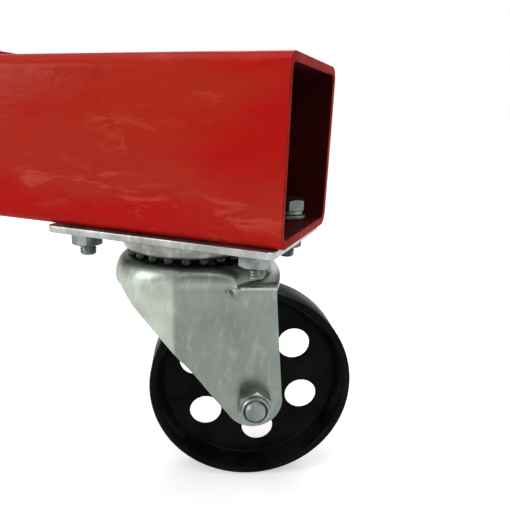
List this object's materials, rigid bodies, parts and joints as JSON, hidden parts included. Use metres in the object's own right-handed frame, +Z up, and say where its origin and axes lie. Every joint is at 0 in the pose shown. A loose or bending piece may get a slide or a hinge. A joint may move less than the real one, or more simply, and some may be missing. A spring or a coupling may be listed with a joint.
{
  "type": "portable gantry crane",
  "caption": "Rolling gantry crane frame: square-tube side frames on swivel casters, pinned telescoping posts and a lifting beam for a trolley hoist.",
  "frame": {"origin": "on the floor, under the middle of the crane", "axes": "+Z up; base beams along X; the lifting beam spans along Y; the pictured corner is at +X, +Y"},
  "size_m": [1.354, 2.3, 1.7983],
  "materials": {
    "red_paint": "glossy red enamel over steel",
    "zinc_sheet": "bright zinc plate, faint blue and yellow tint",
    "zinc_fastener": "zinc plated fasteners",
    "black_iron": "black enamel over cast iron",
    "bare_steel": "plain steel"
  },
  "bodies": {
    "base": {"base_beam_back": "red_paint", "outer_post_back": "red_paint", "brace_back_right": "red_paint", "brace_back_left": "red_paint", "base_beam_front": "red_paint", "outer_post_front": "red_paint", "brace_front_right": "red_paint", "brace_front_left": "red_paint", "caster_a_top_plate": "zinc_sheet", "caster_a_kingpin": "bare_steel", "caster_a_plate_bolt_1": "zinc_fastener", "caster_a_plate_bolt_2": "zinc_fastener", "caster_a_plate_bolt_3": "zinc_fastener", "caster_a_plate_bolt_4": "zinc_fastener", "caster_b_top_plate": "zinc_sheet", "caster_b_kingpin": "bare_steel", "caster_b_plate_bolt_1": "zinc_fastener", "caster_b_plate_bolt_2": "zinc_fastener", "caster_b_plate_bolt_3": "zinc_fastener", "caster_b_plate_bolt_4": "zinc_fastener", "caster_c_top_plate": "zinc_sheet", "caster_c_kingpin": "bare_steel", "caster_c_plate_bolt_1": "zinc_fastener", "caster_c_plate_bolt_2": "zinc_fastener", "caster_c_plate_bolt_3": "zinc_fastener", "caster_c_plate_bolt_4": "zinc_fastener", "caster_d_top_plate": "zinc_sheet", "caster_d_kingpin": "bare_steel", "caster_d_plate_bolt_1": "zinc_fastener", "caster_d_plate_bolt_2": "zinc_fastener", "caster_d_plate_bolt_3": "zinc_fastener", "caster_d_plate_bolt_4": "zinc_fastener"},
    "lifting_frame": {"top_beam": "red_paint", "inner_post_back": "red_paint", "inner_post_front": "red_paint", "trolley_stop_back": "zinc_fastener", "trolley_stop_front": "zinc_fastener"},
    "lock_pin_back": {"lock_pin_back": "zinc_fastener"},
    "lock_pin_front": {"lock_pin_front": "zinc_fastener"},
    "caster_a_swivel": {"caster_a_fork": "zinc_sheet", "caster_a_hub_bushing": "bare_steel", "caster_a_axle_bolt": "zinc_fastener", "caster_a_axle_nut": "zinc_fastener"},
    "caster_a_wheel": {"caster_a_wheel": "black_iron"},
    "caster_b_swivel": {"caster_b_fork": "zinc_sheet", "caster_b_hub_bushing": "bare_steel", "caster_b_axle_bolt": "zinc_fastener", "caster_b_axle_nut": "zinc_fastener"},
    "caster_b_wheel": {"caster_b_wheel": "black_iron"},
    "caster_c_swivel": {"caster_c_fork": "zinc_sheet", "caster_c_hub_bushing": "bare_steel", "caster_c_axle_bolt": "zinc_fastener", "caster_c_axle_nut": "zinc_fastener"},
    "caster_c_wheel": {"caster_c_wheel": "black_iron"},
    "caster_d_swivel": {"caster_d_fork": "zinc_sheet", "caster_d_hub_bushing": "bare_steel", "caster_d_axle_bolt": "zinc_fastener", "caster_d_axle_nut": "zinc_fastener"},
    "caster_d_wheel": {"caster_d_wheel": "black_iron"}
  },
  "joints": [
    {"name": "caster_a_swivel", "type": "hinge", "parent": "base", "child": "caster_a_swivel", "pos_m": [0.5788, 1, 0.16476], "axis": [0, 0, 1], "continuous": true},
    {"name": "caster_a_wheel_spin", "type": "hinge", "parent": "caster_a_swivel", "child": "caster_a_wheel", "pos_m": [0.61421, 1.01727, 0.0635], "axis": [-0.4384, 0.8988, 0], "continuous": true},
    {"name": "caster_b_swivel", "type": "hinge", "parent": "base", "child": "caster_b_swivel", "pos_m": [-0.5788, 1, 0.16476], "axis": [0, 0, 1], "continuous": true},
    {"name": "caster_b_wheel_spin", "type": "hinge", "parent": "caster_b_swivel", "child": "caster_b_wheel", "pos_m": [-0.61421, 1.01727, 0.0635], "axis": [-0.4384, -0.8988, 0], "continuous": true},
    {"name": "caster_c_swivel", "type": "hinge", "parent": "base", "child": "caster_c_swivel", "pos_m": [-0.5788, -1, 0.16476], "axis": [0, 0, 1], "continuous": true},
    {"name": "caster_c_wheel_spin", "type": "hinge", "parent": "caster_c_swivel", "child": "caster_c_wheel", "pos_m": [-0.61421, -1.01727, 0.0635], "axis": [0.4384, -0.8988, 0], "continuous": true},
    {"name": "caster_d_swivel", "type": "hinge", "parent": "base", "child": "caster_d_swivel", "pos_m": [0.5788, -1, 0.16476], "axis": [0, 0, 1], "continuous": true},
    {"name": "caster_d_wheel_spin", "type": "hinge", "parent": "caster_d_swivel", "child": "caster_d_wheel", "pos_m": [0.61421, -1.01727, 0.0635], "axis": [0.4384, 0.8988, 0], "continuous": true},
    {"name": "height_lift", "type": "slide", "parent": "base", "child": "lifting_frame", "axis": [0, 0, 1], "range_m": [0, 0.6]},
    {"name": "lock_pin_back_pull", "type": "slide", "parent": "base", "child": "lock_pin_back", "axis": [1, 0, 0], "range_m": [0, 0.12]},
    {"name": "lock_pin_front_pull", "type": "slide", "parent": "base", "child": "lock_pin_front", "axis": [1, 0, 0], "range_m": [0, 0.12]}
  ]
}
